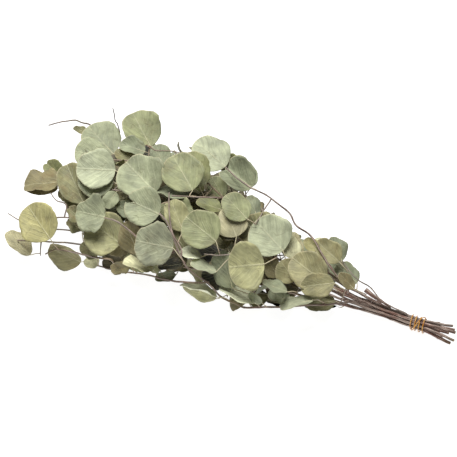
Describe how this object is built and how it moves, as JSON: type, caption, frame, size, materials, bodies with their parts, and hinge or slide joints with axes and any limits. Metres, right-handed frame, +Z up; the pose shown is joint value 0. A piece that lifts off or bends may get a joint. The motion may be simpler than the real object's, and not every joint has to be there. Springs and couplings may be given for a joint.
{
  "type": "tied bunch of dried eucalyptus stems",
  "caption": "Bunch of dried round-leaved eucalyptus lying on a surface, leafy stems fanning out from an elastic tie near their cut ends.",
  "frame": {"origin": "on the surface the bunch lies on, under the elastic tie, where the elastic's flat touches it", "axes": "+Z up from the surface; +X along the bunch towards the cut ends, with the leafy tips to -X; -Y to the near side"},
  "size_m": [0.6149, 0.2541, 0.1465],
  "materials": {
    "dried_leaf": "matt dried leaf, grey green",
    "bark": "dry purple-brown bark",
    "elastic": "thin orange rubber band"
  },
  "bodies": {
    "root": {"leafy_stem_1": "dried_leaf", "leafy_stem_2": "dried_leaf", "leafy_stem_3": "dried_leaf", "leafy_stem_4": "dried_leaf", "leafy_stem_5": "dried_leaf", "leafy_stem_6": "dried_leaf", "leafy_stem_7": "dried_leaf", "leafy_stem_8": "dried_leaf", "leafy_stem_9": "dried_leaf", "elastic_tie": "elastic"}
  },
  "joints": []
}
